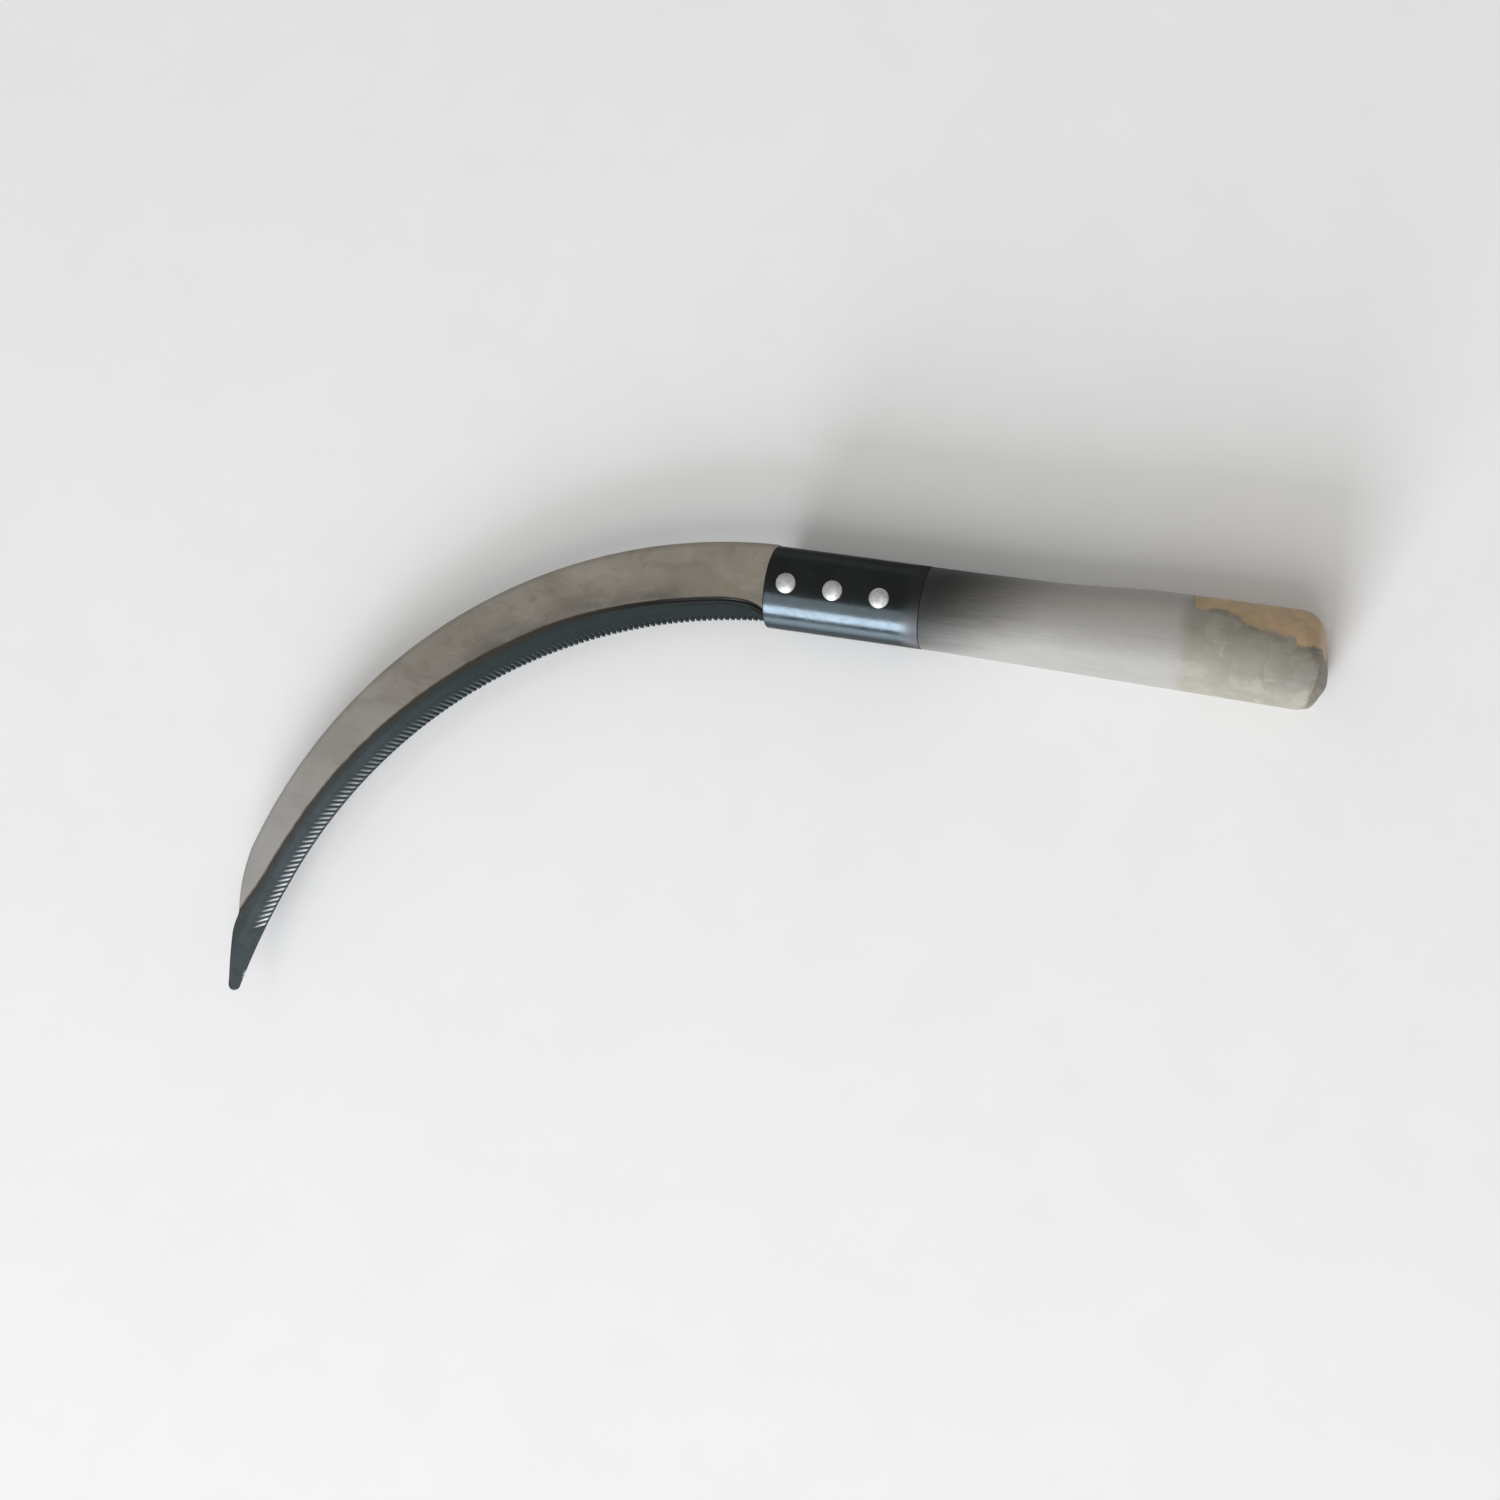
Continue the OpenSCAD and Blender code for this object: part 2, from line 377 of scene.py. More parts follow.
def coarse_column(skin, p):
    """Column that carries on from the point p straight out to the spine: its vertices above and below."""
    rel = p - EDGE_C
    phi, r_p = polar(rel)
    outward = rel / r_p
    w_p = r_p - r_in(phi)
    w_end = max(r_out(phi) - r_in(phi), w_p + 0.001)
    wb = band_at(phi)
    room = w_end - w_p
    ridge = min(max(wb, w_p + 0.05 * room), w_p + 0.8 * room)
    half_step = min(0.26, 0.05 * room)
    rim = min(RIM, 0.15 * room)
    ws = [lerp(w_p, ridge - half_step, k / BAND_ROWS) for k in range(1, BAND_ROWS + 1)]
    ws += [lerp(ridge + half_step, w_end - rim, k / BODY_ROWS) for k in range(BODY_ROWS + 1)]
    ws += [w_end - 0.3 * rim, w_end]
    rim_drops = {len(ws) - 2: 0.1, len(ws) - 1: 0.34}
    top, low = [], []
    for k, w in enumerate(ws):
        q = EDGE_C + outward * (r_in(phi) + w)
        z = band_height(w, wb) if w < ridge or wb >= w_end else HALF_T
        drop = rim_drops.get(k, 0.0) * min(rim / RIM, 1.0)
        top.append(skin.add(q, z - drop, w, wb, phi))
        low.append(skin.add(q, -HALF_T + drop, w, wb, phi))
    return top, low


def join_fine(skin, tops, lows):
    for j in range(len(tops) - 1):
        top, low, next_top, next_low = tops[j], lows[j], tops[j + 1], lows[j + 1]
        for k in range(FINE_ROWS):
            skin.faces.append((top[k], top[k + 1], next_top[k + 1], next_top[k]))
        skin.faces.append((low[0], next_low[0], next_low[1], low[1]))
        skin.faces.append((top[0], next_top[0], next_low[0], low[0]))


def join_coarse(skin, tops, lows, fine_tops, fine_lows):
    for c in range(len(tops) - 1):
        top, low, next_top, next_low = tops[c], lows[c], tops[c + 1], lows[c + 1]
        between = range(c * MERGE, (c + 1) * MERGE + 1)
        skin.faces.append(tuple([top[0], next_top[0]] + [fine_tops[j][FINE_ROWS] for j in between][::-1]))
        skin.faces.append(tuple([next_low[0], low[0]] + [fine_lows[j][1] for j in between]))
        for k in range(len(top) - 1):
            skin.faces.append((top[k], top[k + 1], next_top[k + 1], next_top[k]))
            skin.faces.append((low[k], next_low[k], next_low[k + 1], low[k + 1]))
        skin.faces.append((top[-1], low[-1], next_low[-1], next_top[-1]))


def square_off_root(mesh):
    """Cuts the blade off at the ferrule's mouth and closes the cut."""
    bm = bmesh.new()
    bm.from_mesh(mesh)
    bmesh.ops.remove_doubles(bm, verts=bm.verts, dist=2e-6)
    cut = bmesh.ops.bisect_plane(
        bm, geom=bm.verts[:] + bm.edges[:] + bm.faces[:], plane_co=(MOUTH * MM, 0, 0),
        plane_no=(1, 0, 0), clear_outer=True)
    edges = [e for e in cut["geom_cut"] if isinstance(e, bmesh.types.BMEdge)]
    bmesh.ops.contextual_create(bm, geom=edges)
    bmesh.ops.recalc_face_normals(bm, faces=bm.faces)
    bm.to_mesh(mesh)
    bm.free()


def tang_object():
    """Flat tang, let into the root a little so that the two join."""
    x0, x1 = MOUTH - 0.6, MOUTH + TANG_L
    outline = [
        (x0, -TANG_HALF_ROOT), (x1 - TANG_CORNER, -TANG_HALF_END), (x1, -TANG_HALF_END + TANG_CORNER),
        (x1, TANG_HALF_END - TANG_CORNER), (x1 - TANG_CORNER, TANG_HALF_END), (x0, TANG_HALF_ROOT)]
    t = HALF_T - 0.03
    n = len(outline)
    faces = [tuple(range(n))[::-1], tuple(range(n, 2 * n))]
    faces += [(i, (i + 1) % n, n + (i + 1) % n, n + i) for i in range(n)]
    return new_object("tang", [(x, y, z) for z in (-t, t) for x, y in outline], faces)


def build_blade():
    skin = BladeSkin()
    fine_tops, fine_lows, ends = zip(*(fine_column(skin, *column) for column in blade_columns()))
    join_fine(skin, fine_tops, fine_lows)
    tops, lows = zip(*(coarse_column(skin, p) for p in ends[::MERGE]))
    join_coarse(skin, tops, lows, fine_tops, fine_lows)
    root, nose = (tuple(fine_tops[j] + tops[j] + lows[j][::-1] + fine_lows[j][::-1]) for j in (0, -1))
    skin.faces += [root[::-1], nose]
    obj = new_object("serrated_blade", skin.verts, skin.faces, skin.attributes)
    square_off_root(obj.data)
    combine(obj, "UNION", tang_object())
    finish_mesh(obj, 24)
    return take_place(obj, "blade")


# ------------------------------------------------------------------ turned parts
def rings_mesh(rings, start=None, end=None):
    """Faces joining equal rings of vertices; an end is closed by a fan to the vertex given for it."""
    verts = [p for ring in rings for p in ring]
    faces = []
    n = len(rings[0])
    for r in range(len(rings) - 1):
        for i in range(n):
            a, b = r * n + i, r * n + (i + 1) % n
            faces.append((a, b, b + n, a + n))
    for middle, base in ((start, 0), (end, (len(rings) - 1) * n)):
        if middle is None:
            continue
        verts.append(middle)
        for i in range(n):
            a, b = base + i, base + (i + 1) % n
            faces.append((len(verts) - 1, b, a) if base == 0 else (len(verts) - 1, a, b))
    return verts, faces


def circle_angles(n):
    return [2 * math.pi * i / n for i in range(n)]


def handle_radii(d):
    """Half-widths of the handle above, below and across its axis at a distance behind the mouth."""
    neck, most = FERRULE_R - 0.05, BUTT_R - 0.04
    up = neck + 0.3 * smooth((d - 60) / 35) + 2.05 * smooth((d - 92) / 44)
    down = neck + 2.3 * max(d - 60, 0.0) / 117
    both = neck + (most - neck) * smooth((d - 66) / 100)
    return min(up, most), min(down, most), both


def handle_section(d, a, k=1.0):
    """Y and Z at a distance behind the mouth and an angle, at a share k of the way out to the surface."""
    up, down, both = handle_radii(d)
    mid, half = (up - down) / 2, (up + down) / 2
    return mid + half * math.sin(a) * k, both * math.cos(a) * k


# How far short of its box the butt's end stands at each height: worn at the top corner, cut off at the lower
BUTT_PROFILE = [
    (-16.3, -8.4), (-15.5, -4.7), (-13.3, -2.95), (-10.2, -1.4), (-8.6, -0.4), (-6.5, 0.0), (-2.3, -0.3),
    (1.1, -1.2), (3.9, -1.9), (6.8, -2.4), (10.3, -3.1), (12.8, -4.25), (14.7, -6.0), (15.9, -8.2),
    (16.3, -10.5)]
# How much further back its end grain stands at the front and back faces than in the middle
BUTT_CROWN = [
    (-16.3, 0.5), (-15.5, 0.8), (-11.2, 1.9), (-7.5, 2.5), (-3.9, 1.6), (-1.0, 1.4), (4.5, 4.5), (12, 4.5),
    (16.3, 2)]


def along_profile(y, points):
    """Value of a profile at a height, its corners eased."""
    xs, ys = zip(*points)
    shifts = (-0.7, -0.35, 0.0, 0.35, 0.7)
    return sum(float(np.interp(y + shift, xs, ys)) for shift in shifts) / len(shifts)


def butt_x(y, a, k):
    """X of the end face at a height y, on the ray at angle a and at a share k of the way out to the rim."""
    depth = k * abs(math.cos(a)) / math.sqrt(1 - (k * math.sin(a)) ** 2)
    power = lerp(2.2, 8.0, smooth((y + 1) / 5))
    return along_profile(y, BUTT_PROFILE) - along_profile(y, BUTT_CROWN) * depth ** power


def plain_ring(d, r):
    """True circle of the spigot inside the ferrule."""
    return [(MOUTH + d, r * math.sin(a), r * math.cos(a)) for a in circle_angles(TURN_SEG)]


def turned_ring(d, end, k=1.0):
    """Ring of the turned surface, slightly uneven, pulled short near the butt to meet its skewed end."""
    pts = []
    for a in circle_angles(TURN_SEG):
        ca, sa = math.cos(a), math.sin(a)
        y, z = handle_section(d, a, k)
        dip = 0.07 + 0.05 * wave(d / 9.0, sa * 1.7, ca * 1.7)
        dip += 0.03 * wave(d / 30.0, sa * 5, ca * 5 + 8)
        pull = max(0.0, (d - (end - 30)) / 30) ** 2
        short = butt_x(handle_section(end, a)[0], a, 0.985) * pull
        pts.append((MOUTH + d + short, y - dip * sa, z - dip * ca))
    return pts


def cap_ring(end, k):
    """Ring on the butt's end grain, at a share k of the way out."""
    pts = []
    for a in circle_angles(TURN_SEG):
        y, z = handle_section(end, a, k)
        grain = 0.06 * wave(y / 1.6, z / 1.6, 2.0)
        pts.append((BUTT + min(butt_x(y, a, k) + grain - 0.06, -0.01), y, z))
    return pts


def kerf_object():
    """Saw cut for the tang, open at the mouth."""
    lead, across = 1, 40
    length = KERF_L + lead
    mesh = bpy.data.meshes.new("kerf")
    bm = bmesh.new()
    bmesh.ops.create_cube(bm, size=1.0)
    size = Matrix.Diagonal((length * MM, across * MM, KERF_W * MM, 1))
    bmesh.ops.transform(bm, matrix=size, verts=bm.verts)
    bmesh.ops.translate(bm, vec=((MOUTH - lead + length / 2) * MM, 0, 0), verts=bm.verts)
    bm.to_mesh(mesh)
    bm.free()
    obj = bpy.data.objects.new("kerf", mesh)
    bpy.context.scene.collection.objects.link(obj)
    return obj


def build_handle():
    """Spigot, turned body and end grain as one skin, with the kerf sawn out of it."""
    end = BUTT - MOUTH
    neck = FERRULE_END - MOUTH
    spigot = FERRULE_R - WALL - 0.02
    spigot_start, chamfer = 0.8, 0.25
    rings = [plain_ring(spigot_start, spigot - chamfer)]
    rings += [plain_ring(d, spigot) for d in (spigot_start + chamfer, 28, neck)]
    rings += [turned_ring(neck + step, end, k) for step, k in ((0.02, 0.985), (0.12, 0.996))]
    body_rings = 150
    rings += [turned_ring(lerp(neck + 0.45, end - 2.2, i / body_rings), end) for i in range(body_rings + 1)]
    rings += [turned_ring(end - step, end, k) for step, k in ((1.5, 0.997), (0.9, 0.991), (0.45, 0.983))]
    shares = (0.972, 0.95, 0.92, 0.88, 0.84, 0.79, 0.73, 0.66, 0.58, 0.5, 0.42, 0.34, 0.26, 0.18, 0.1)
    rings += [cap_ring(end, k) for k in shares]
    verts, faces = rings_mesh(rings, (MOUTH + spigot_start, 0, 0), (BUTT + butt_x(0, 0, 0) - 0.06, 0, 0))
    obj = take_place(new_object("wooden_handle", verts, faces), "handle")
    finish_mesh(obj, 40)
    combine(obj, "DIFFERENCE", kerf_object())
    finish_mesh(obj, 40)
    masks = [handle_masks(*(v.co / MM)) for v in obj.data.vertices]
    set_attributes(obj.data, {key: [mask[key] for mask in masks] for key in masks[0]})
    return obj


# Where the bare wood's lower border runs: distance from the box's end, angle round from the face's middle
BARE_BORDER = [
    (-52.0, 190), (-46.0, 100), (-44.8, 50), (-42, 40), (-37, 45), (-30, 42), (-26.5, 32), (-20.5, 28),
    (-14.5, 22), (-8.5, 15), (0, 16)]
BARE_BACK = 158.0


def handle_masks(x, y, z):
    """How stained, worn and grimy the wood is at a point, how much painted light lightens its top, how much
    painted shade darkens its end grain, how shaded it is, and how far inside bare wood it lies.

    The angle a goes round from the face's middle, up over the spine's side, and every mask is continuous
    round the back. All run from 0 to 1 but bare, which is in degrees and negative outside the bare wood.
    """
    a = math.degrees(math.atan2(y, z))
    from_end = x - BUTT
    round_back = smooth((abs(a) - 110) / 60)
    below = 15.0 * (min(max(-a, 0.0), 90.0) / 60) ** 1.25 * (1 - round_back)
    above = smooth((a - 15) / 45) if a > 0 else round_back
    behind = x - MOUTH - STAIN_START
    # Share of the top side whose paint is lightened as painted light
    lit_top_share = smooth((a + 5) / 35) * (1 - 0.5 * smooth((a - 32) / 25)) * (1 - round_back)
    up, down, both = handle_radii(BUTT - MOUTH)
    out = math.hypot((y - (up - down) / 2) / ((up + down) / 2), z / both)
    return {
        "stain": 1 - smooth((behind + below - 5.0 * above + 1.0) / 47.5),
        "bare": min(a - float(np.interp(from_end, *zip(*BARE_BORDER))), BARE_BACK - a),
        "worn": smooth((from_end + 50) / 7),
        "grime": smooth((from_end + 26) / 22) * smooth((a + 62) / 36) * (1 - round_back),
        # Mask of the end face, whose dark colour is partly painted shade
        "end_grain_and_shade": smooth((0.985 - out) / 0.02) if from_end > -14 else 0.0,
        "painted_top_light": lit_top_share * smooth((from_end + 120) / 62),
        "shade": smooth((from_end + 36) / 8) * math.exp(-((a + 31) / 17) ** 2),
    }


def build_ferrule():
    """Tube with rolled rims, its outside a little uneven."""
    rim = 0.32
    length = FERRULE_END - MOUTH
    bore, bore_edge = FERRULE_R - WALL, 0.1
    turns = [math.pi / 2 * k / 6 for k in range(7)]
    profile = [(rim - rim * math.cos(t), FERRULE_R - rim + rim * math.sin(t)) for t in turns]
    profile += [(lerp(rim, length - rim, k / 46), FERRULE_R) for k in range(1, 46)]
    profile += [(length - rim + rim * math.sin(t), FERRULE_R - rim + rim * math.cos(t)) for t in turns]
    profile += [(length, bore + bore_edge), (length - bore_edge, bore)]
    profile += [(bore_edge, bore), (0.0, bore + bore_edge)]
    rings = []
    measures = {"to_end": [], "below": [], "under": []}
    for x, r in profile:
        pts = []
        for a in circle_angles(TURN_SEG):
            rr = r
            if r > FERRULE_R - 0.05:
                rr = r - 0.02 - 0.02 * wave(x / 12.0, math.cos(a) * 1.6, math.sin(a) * 1.6)
            pts.append((MOUTH + x, rr * math.sin(a), rr * math.cos(a)))
            measures["to_end"].append(length - x)
            # below and under are masks of painted light: painted reflection on the lower side and underside,
            # painted shade on the top
            measures["below"].append(smooth((0.15 - math.sin(a)) / 0.5))
            measures["under"].append(smooth((-math.sin(a) - 0.74) / 0.2))
        rings.append(pts)
    verts, faces = rings_mesh(rings)
    last = len(verts) - TURN_SEG
    for i in range(TURN_SEG):
        j = (i + 1) % TURN_SEG
        faces.append((last + i, last + j, j, i))
    obj = new_object("steel_ferrule", verts, faces, measures)
    finish_mesh(obj, 50)
    return take_place(obj, "ferrule")


# ------------------------------------------------------------------ rivets
RIVET_SEG = 64
HEAD_R, TAIL_R, SHANK_R = 3.38, 3.1, 1.95
HEAD_SIDE = 0.2  # height of the head's upright side
TAIL_H = 0.95


def rivet_ring(centre, seed, r, height, sign, seated=False):
    """Slightly uneven ring at a height over the tube's crest or seated on the tube, on the sign's side."""
    x_c, y_c = centre
    pts = []
    for a in circle_angles(RIVET_SEG):
        uneven = wave(math.cos(a) * 1.3 + seed, math.sin(a) * 1.3, height)
        rr = r * (1 + 0.012 * uneven * (r > SHANK_R))
        y = y_c + rr * math.sin(a)
        z = math.sqrt(FERRULE_R ** 2 - y * y) if seated else FERRULE_R + height
        pts.append((x_c + rr * math.cos(a), y, sign * z))
    return pts


def battered(point, centre, seed):
    """The point moved by the dimple and the unevenness of the head, or by the unevenness of the tail."""
    x, y, z = point
    x_c, y_c = centre
    dimple_a = 0.9 + seed
    if z > FERRULE_R + 0.3:
        dx, dy = x - x_c - 1.2 * math.cos(dimple_a), y - y_c - 1.3 - 0.3 * math.sin(dimple_a)
        z -= 0.12 * math.exp(-(dx * dx + dy * dy) / 0.5)
        z -= 0.03 * (0.5 + wave(x * 0.9, y * 0.9, seed))
    if z < -FERRULE_R - 0.3:
        z += 0.08 * (0.5 + wave(x * 0.8, y * 0.8, seed + 5))
    return x, y, z


def build_rivet(name, node, x_c, y_c, top_z, seed):
    """Hammered tail on the back, plain shank and domed head on the face, in rings from tail to head."""
    centre = (x_c, y_c)
    tail_rings, head_rings, crown_dent = 10, 14, 0.1
    rings = []
    for k in range(1, tail_rings + 1):
        t = k / (tail_rings + 1)
        flat = TAIL_H - 0.55 * max(0.0, t - 0.45) ** 2 / 0.3
        rings.append(rivet_ring(centre, seed, TAIL_R * t, max(flat, 0.25), -1))
    rings.append(rivet_ring(centre, seed, TAIL_R * 0.985, 0.2, -1))
    rings.append(rivet_ring(centre, seed, TAIL_R, 0.1, -1))
    seats = ((TAIL_R * 0.99, -1), (SHANK_R, -1), (SHANK_R, 1), (HEAD_R * 0.985, 1))
    rings += [rivet_ring(centre, seed, r, 0.0, sign, seated=True) for r, sign in seats]
    rings.append(rivet_ring(centre, seed, HEAD_R, 0.06, 1))
    head_h = top_z - FERRULE_R
    ball = (HEAD_R ** 2 + (head_h - HEAD_SIDE) ** 2) / (2 * (head_h - HEAD_SIDE))
    for k in range(head_rings):
        r = HEAD_R * (1 - k / (head_rings + 0.5))
        h = head_h - ball + math.sqrt(max(ball * ball - r * r, 0.0))
        dent = crown_dent * math.exp(-((r / HEAD_R) ** 2) / 0.12)
        rings.append(rivet_ring(centre, seed, r, h - dent, 1))
    verts, faces = rings_mesh(
        rings, (x_c, y_c, -(FERRULE_R + TAIL_H)), (x_c, y_c, FERRULE_R + head_h - crown_dent))
    obj = new_object(name, [battered(p, centre, seed) for p in verts], faces)
    finish_mesh(obj, 50)
    return take_place(obj, node)


# ------------------------------------------------------------------ materials
BLACK = (0.012, 0.012, 0.012)


def grey(level):
    return (level, level, level)


class Nodes:
    """Short-hand for building a material's node tree."""

    def __init__(self, name):
        self.mat = bpy.data.materials.new(name)
        self.mat.use_nodes = True
        self.tree = self.mat.node_tree
        self.tree.nodes.clear()
        self.out = self.tree.nodes.new("ShaderNodeOutputMaterial")
        self.bsdf = self.tree.nodes.new("ShaderNodeBsdfPrincipled")
        self.link(self.bsdf.outputs[0], self.out.inputs[0])

    def link(self, a, b):
        self.tree.links.new(a, b)

    def put(self, socket, value):
        if hasattr(value, "node"):
            self.link(value, socket)
        elif value is not None:
            socket.default_value = value

    def attr(self, name):
        node = self.tree.nodes.new("ShaderNodeAttribute")
        node.attribute_name = name
        return node.outputs["Fac"]

    def coords(self):
        return self.tree.nodes.new("ShaderNodeTexCoord").outputs["Object"]

    def x_of(self, vector):
        node = self.tree.nodes.new("ShaderNodeSeparateXYZ")
        self.link(vector, node.inputs[0])
        return node.outputs[0]

    def math(self, op, a, b, clamp=False):
        node = self.tree.nodes.new("ShaderNodeMath")
        node.operation = op
        node.use_clamp = clamp
        self.put(node.inputs[0], a)
        self.put(node.inputs[1], b)
        return node.outputs[0]

    def add(self, a, b):
        return self.math("ADD", a, b)

    def times(self, a, b):
        return self.math("MULTIPLY", a, b)

    def off(self, value, middle):
        """How far the value is from the middle, either way."""
        return self.math("ABSOLUTE", self.math("SUBTRACT", value, middle), None)

    def scale(self, vector, by, angle=0.0):
        node = self.tree.nodes.new("ShaderNodeMapping")
        self.link(vector, node.inputs["Vector"])
        node.inputs["Scale"].default_value = by
        node.inputs["Rotation"].default_value = (0.0, 0.0, angle)
        return node.outputs[0]

    def turned(self, vector, angle, by):
        """Coordinates turned about Z and stretched, for streaks that lie at an angle."""
        return self.scale(self.scale(vector, (1, 1, 1), angle), by)

    def warped(self, vector, scale, by):
        """Coordinates pushed about by a colour noise, so that a pattern's borders wander."""
        node = self.tree.nodes.new("ShaderNodeTexNoise")
        self.link(vector, node.inputs["Vector"])
        node.inputs["Scale"].default_value = scale
        push = self.tree.nodes.new("ShaderNodeVectorMath")
        push.operation = "MULTIPLY_ADD"
        self.link(node.outputs["Color"], push.inputs[0])
        push.inputs[1].default_value = (by, by, by)
        self.link(vector, push.inputs[2])
        return push.outputs[0]

    def noise(self, vector, scale, detail=4.0, rough=0.55, distort=0.0):
        node = self.tree.nodes.new("ShaderNodeTexNoise")
        self.link(vector, node.inputs["Vector"])
        node.inputs["Scale"].default_value = scale
        node.inputs["Detail"].default_value = detail
        node.inputs["Roughness"].default_value = rough
        node.inputs["Distortion"].default_value = distort
        return node.outputs["Fac"]

    def spots(self, vector, scale):
        """Distance from the middle of the nearest scattered spot."""
        node = self.tree.nodes.new("ShaderNodeTexVoronoi")
        self.link(vector, node.inputs["Vector"])
        node.inputs["Scale"].default_value = scale
        return node.outputs["Distance"]

    def cells(self, vector, scale):
        """One random grey per cell of a blocky pattern."""
        node = self.tree.nodes.new("ShaderNodeTexVoronoi")
        node.distance = "CHEBYCHEV"
        self.link(vector, node.inputs["Vector"])
        node.inputs["Scale"].default_value = scale
        return self.times(node.outputs["Color"], 1.0)

    def ramp(self, value, lo, hi, to_lo=0.0, to_hi=1.0, mode="SMOOTHSTEP"):
        node = self.tree.nodes.new("ShaderNodeMapRange")
        node.interpolation_type = mode
        self.put(node.inputs["Value"], value)
        for key, v in (("From Min", lo), ("From Max", hi), ("To Min", to_lo), ("To Max", to_hi)):
            node.inputs[key].default_value = v
        return node.outputs[0]

    def line(self, value, lo, hi, to_lo, to_hi):
        """Straight ramp."""
        return self.ramp(value, lo, hi, to_lo, to_hi, "LINEAR")

    def mix(self, fac, a, b):
        node = self.tree.nodes.new("ShaderNodeMix")
        node.data_type = "RGBA"
        node.blend_type = "MIX"
        self.put(node.inputs[0], fac)
        for socket, v in ((node.inputs[6], a), (node.inputs[7], b)):
            self.put(socket, v if hasattr(v, "node") else (*v, 1.0))
        return node.outputs[2]

    def bump(self, height, strength, distance, normal=None):
        node = self.tree.nodes.new("ShaderNodeBump")
        self.link(height, node.inputs["Height"])
        node.inputs["Strength"].default_value = strength
        node.inputs["Distance"].default_value = distance
        if normal is not None:
            self.link(normal, node.inputs["Normal"])
        return node.outputs[0]

    def finish(self, color, rough, metallic, normal=None, **uniform):
        self.put(self.bsdf.inputs["Base Color"], color)
        self.put(self.bsdf.inputs["Roughness"], rough)
        self.put(self.bsdf.inputs["Metallic"], metallic)
        if normal is not None:
            self.link(normal, self.bsdf.inputs["Normal"])
        for key, v in uniform.items():
            self.bsdf.inputs[key.replace("_", " ")].default_value = v
        return self.mat


def plate_color(m, pos, across, along, fade, fine):
    """Brown-grey rolled plate, greyer and lighter towards the tip, with smudges, scratches and specks."""
    broad = m.noise(pos, 38, 3, 0.5, 0.4)
    patch = m.noise(m.scale(pos, (1, 1.6, 1)), 62, 4, 0.6, 0.8)
    by_root = m.mix(m.ramp(broad, 0.35, 0.65), (0.345, 0.312, 0.262), (0.405, 0.372, 0.322))
    by_tip = m.mix(m.ramp(broad, 0.35, 0.65), (0.505, 0.492, 0.475), (0.57, 0.56, 0.545))
    body = m.mix(fade, by_root, by_tip)
    olive = (0.37, 0.325, 0.245)
    body = m.mix(m.ramp(along, 12, 60, 0.4, 0.0), body, olive)

    dark_smudge, pale_smudge, grain_dark = (0.245, 0.23, 0.19), (0.56, 0.53, 0.46), (0.26, 0.245, 0.22)
    off_tip = m.math("SUBTRACT", 1.0, fade)
    body = m.mix(m.times(m.ramp(patch, 0.50, 0.62, 0.0, 0.40), off_tip), body, dark_smudge)
    body = m.mix(m.times(m.ramp(patch, 0.36, 0.46, 0.22, 0.0), off_tip), body, pale_smudge)
    body = m.mix(m.ramp(fine, 0.35, 0.75, 0.0, 0.22), body, grain_dark)

    # Smoke-dark strip beside the band, over the middle of the blade's root half
    smoke = (0.13, 0.125, 0.11)
    by_band = m.times(m.ramp(across, 8.5, 18, 0.55, 0.0), m.ramp(along, 18, 40))
    by_band = m.times(by_band, m.ramp(along, 90, 140, 1.0, 0.0))
    body = m.mix(m.times(by_band, m.ramp(patch, 0.3, 0.6, 0.7, 1.2)), body, smoke)

    scratched, speck = (0.58, 0.55, 0.49), (0.14, 0.125, 0.105)
    for turn, level in ((0.35, 0.70), (-0.5, 0.72), (1.2, 0.73)):
        scratch = m.noise(m.turned(pos, turn, (0.035, 1.0, 1.0)), 950, 2, 0.5)
        body = m.mix(m.ramp(scratch, level, level + 0.09, 0.0, 0.22), body, scratched)
    specks = m.ramp(m.spots(pos, 420), 0.05, 0.11, 1.0, 0.0)
    rare = m.ramp(m.noise(pos, 95, 2), 0.6, 0.66)
    body = m.mix(m.times(m.times(specks, rare), 0.5), body, speck)

    rubbed_by_mouth = (0.60, 0.56, 0.48)
    by_mouth = m.ramp(m.x_of(pos), (MOUTH - 1.9) * MM, (MOUTH - 0.5) * MM, 0.0, 0.35)
    return m.mix(by_mouth, body, rubbed_by_mouth)


def band_color(m, pos, across, along, fade, edge):
    """Blue-grey heat colour of the ground band, browner in a narrow line along its border, with a painted
    highlight of a facet down its middle towards the tip.
    """
    near_root = m.mix(m.ramp(along, 50, 92), (0.046, 0.058, 0.062), (0.048, 0.065, 0.070))
    near_root = m.mix(m.ramp(across, 4.6, 8.6), near_root, (0.040, 0.049, 0.048))
    near_tip = m.mix(m.ramp(across, 4.8, 8.6), (0.110, 0.135, 0.145), (0.082, 0.098, 0.101))
    blue = m.mix(fade, near_root, near_tip)

    # Painted highlight: a lighter stripe down the band's middle stands in for a facet's reflection
    facet_highlight_across, facet_highlight_color = 5.6, (0.112, 0.145, 0.172)
    facet_highlight = m.ramp(m.off(across, facet_highlight_across), 0.3, 1.7, 0.45, 0.0)
    blue = m.mix(m.times(facet_highlight, fade), blue, facet_highlight_color)

    cloud_color, grind_color = (0.05, 0.064, 0.068), (0.13, 0.15, 0.16)
    cloud = m.noise(pos, 120, 3, 0.55)
    blue = m.mix(m.ramp(cloud, 0.4, 0.7, 0.0, 0.35), blue, cloud_color)
    grinding = m.noise(m.turned(pos, 0.9, (0.05, 1.0, 1.0)), 1300, 3, 0.6)
    blue = m.mix(m.ramp(grinding, 0.5, 0.8, 0.0, 0.12), blue, grind_color)

    rust = m.mix(fade, (0.070, 0.055, 0.044), (0.096, 0.080, 0.066))
    return m.mix(m.ramp(edge, -1.5, -0.2), blue, rust)


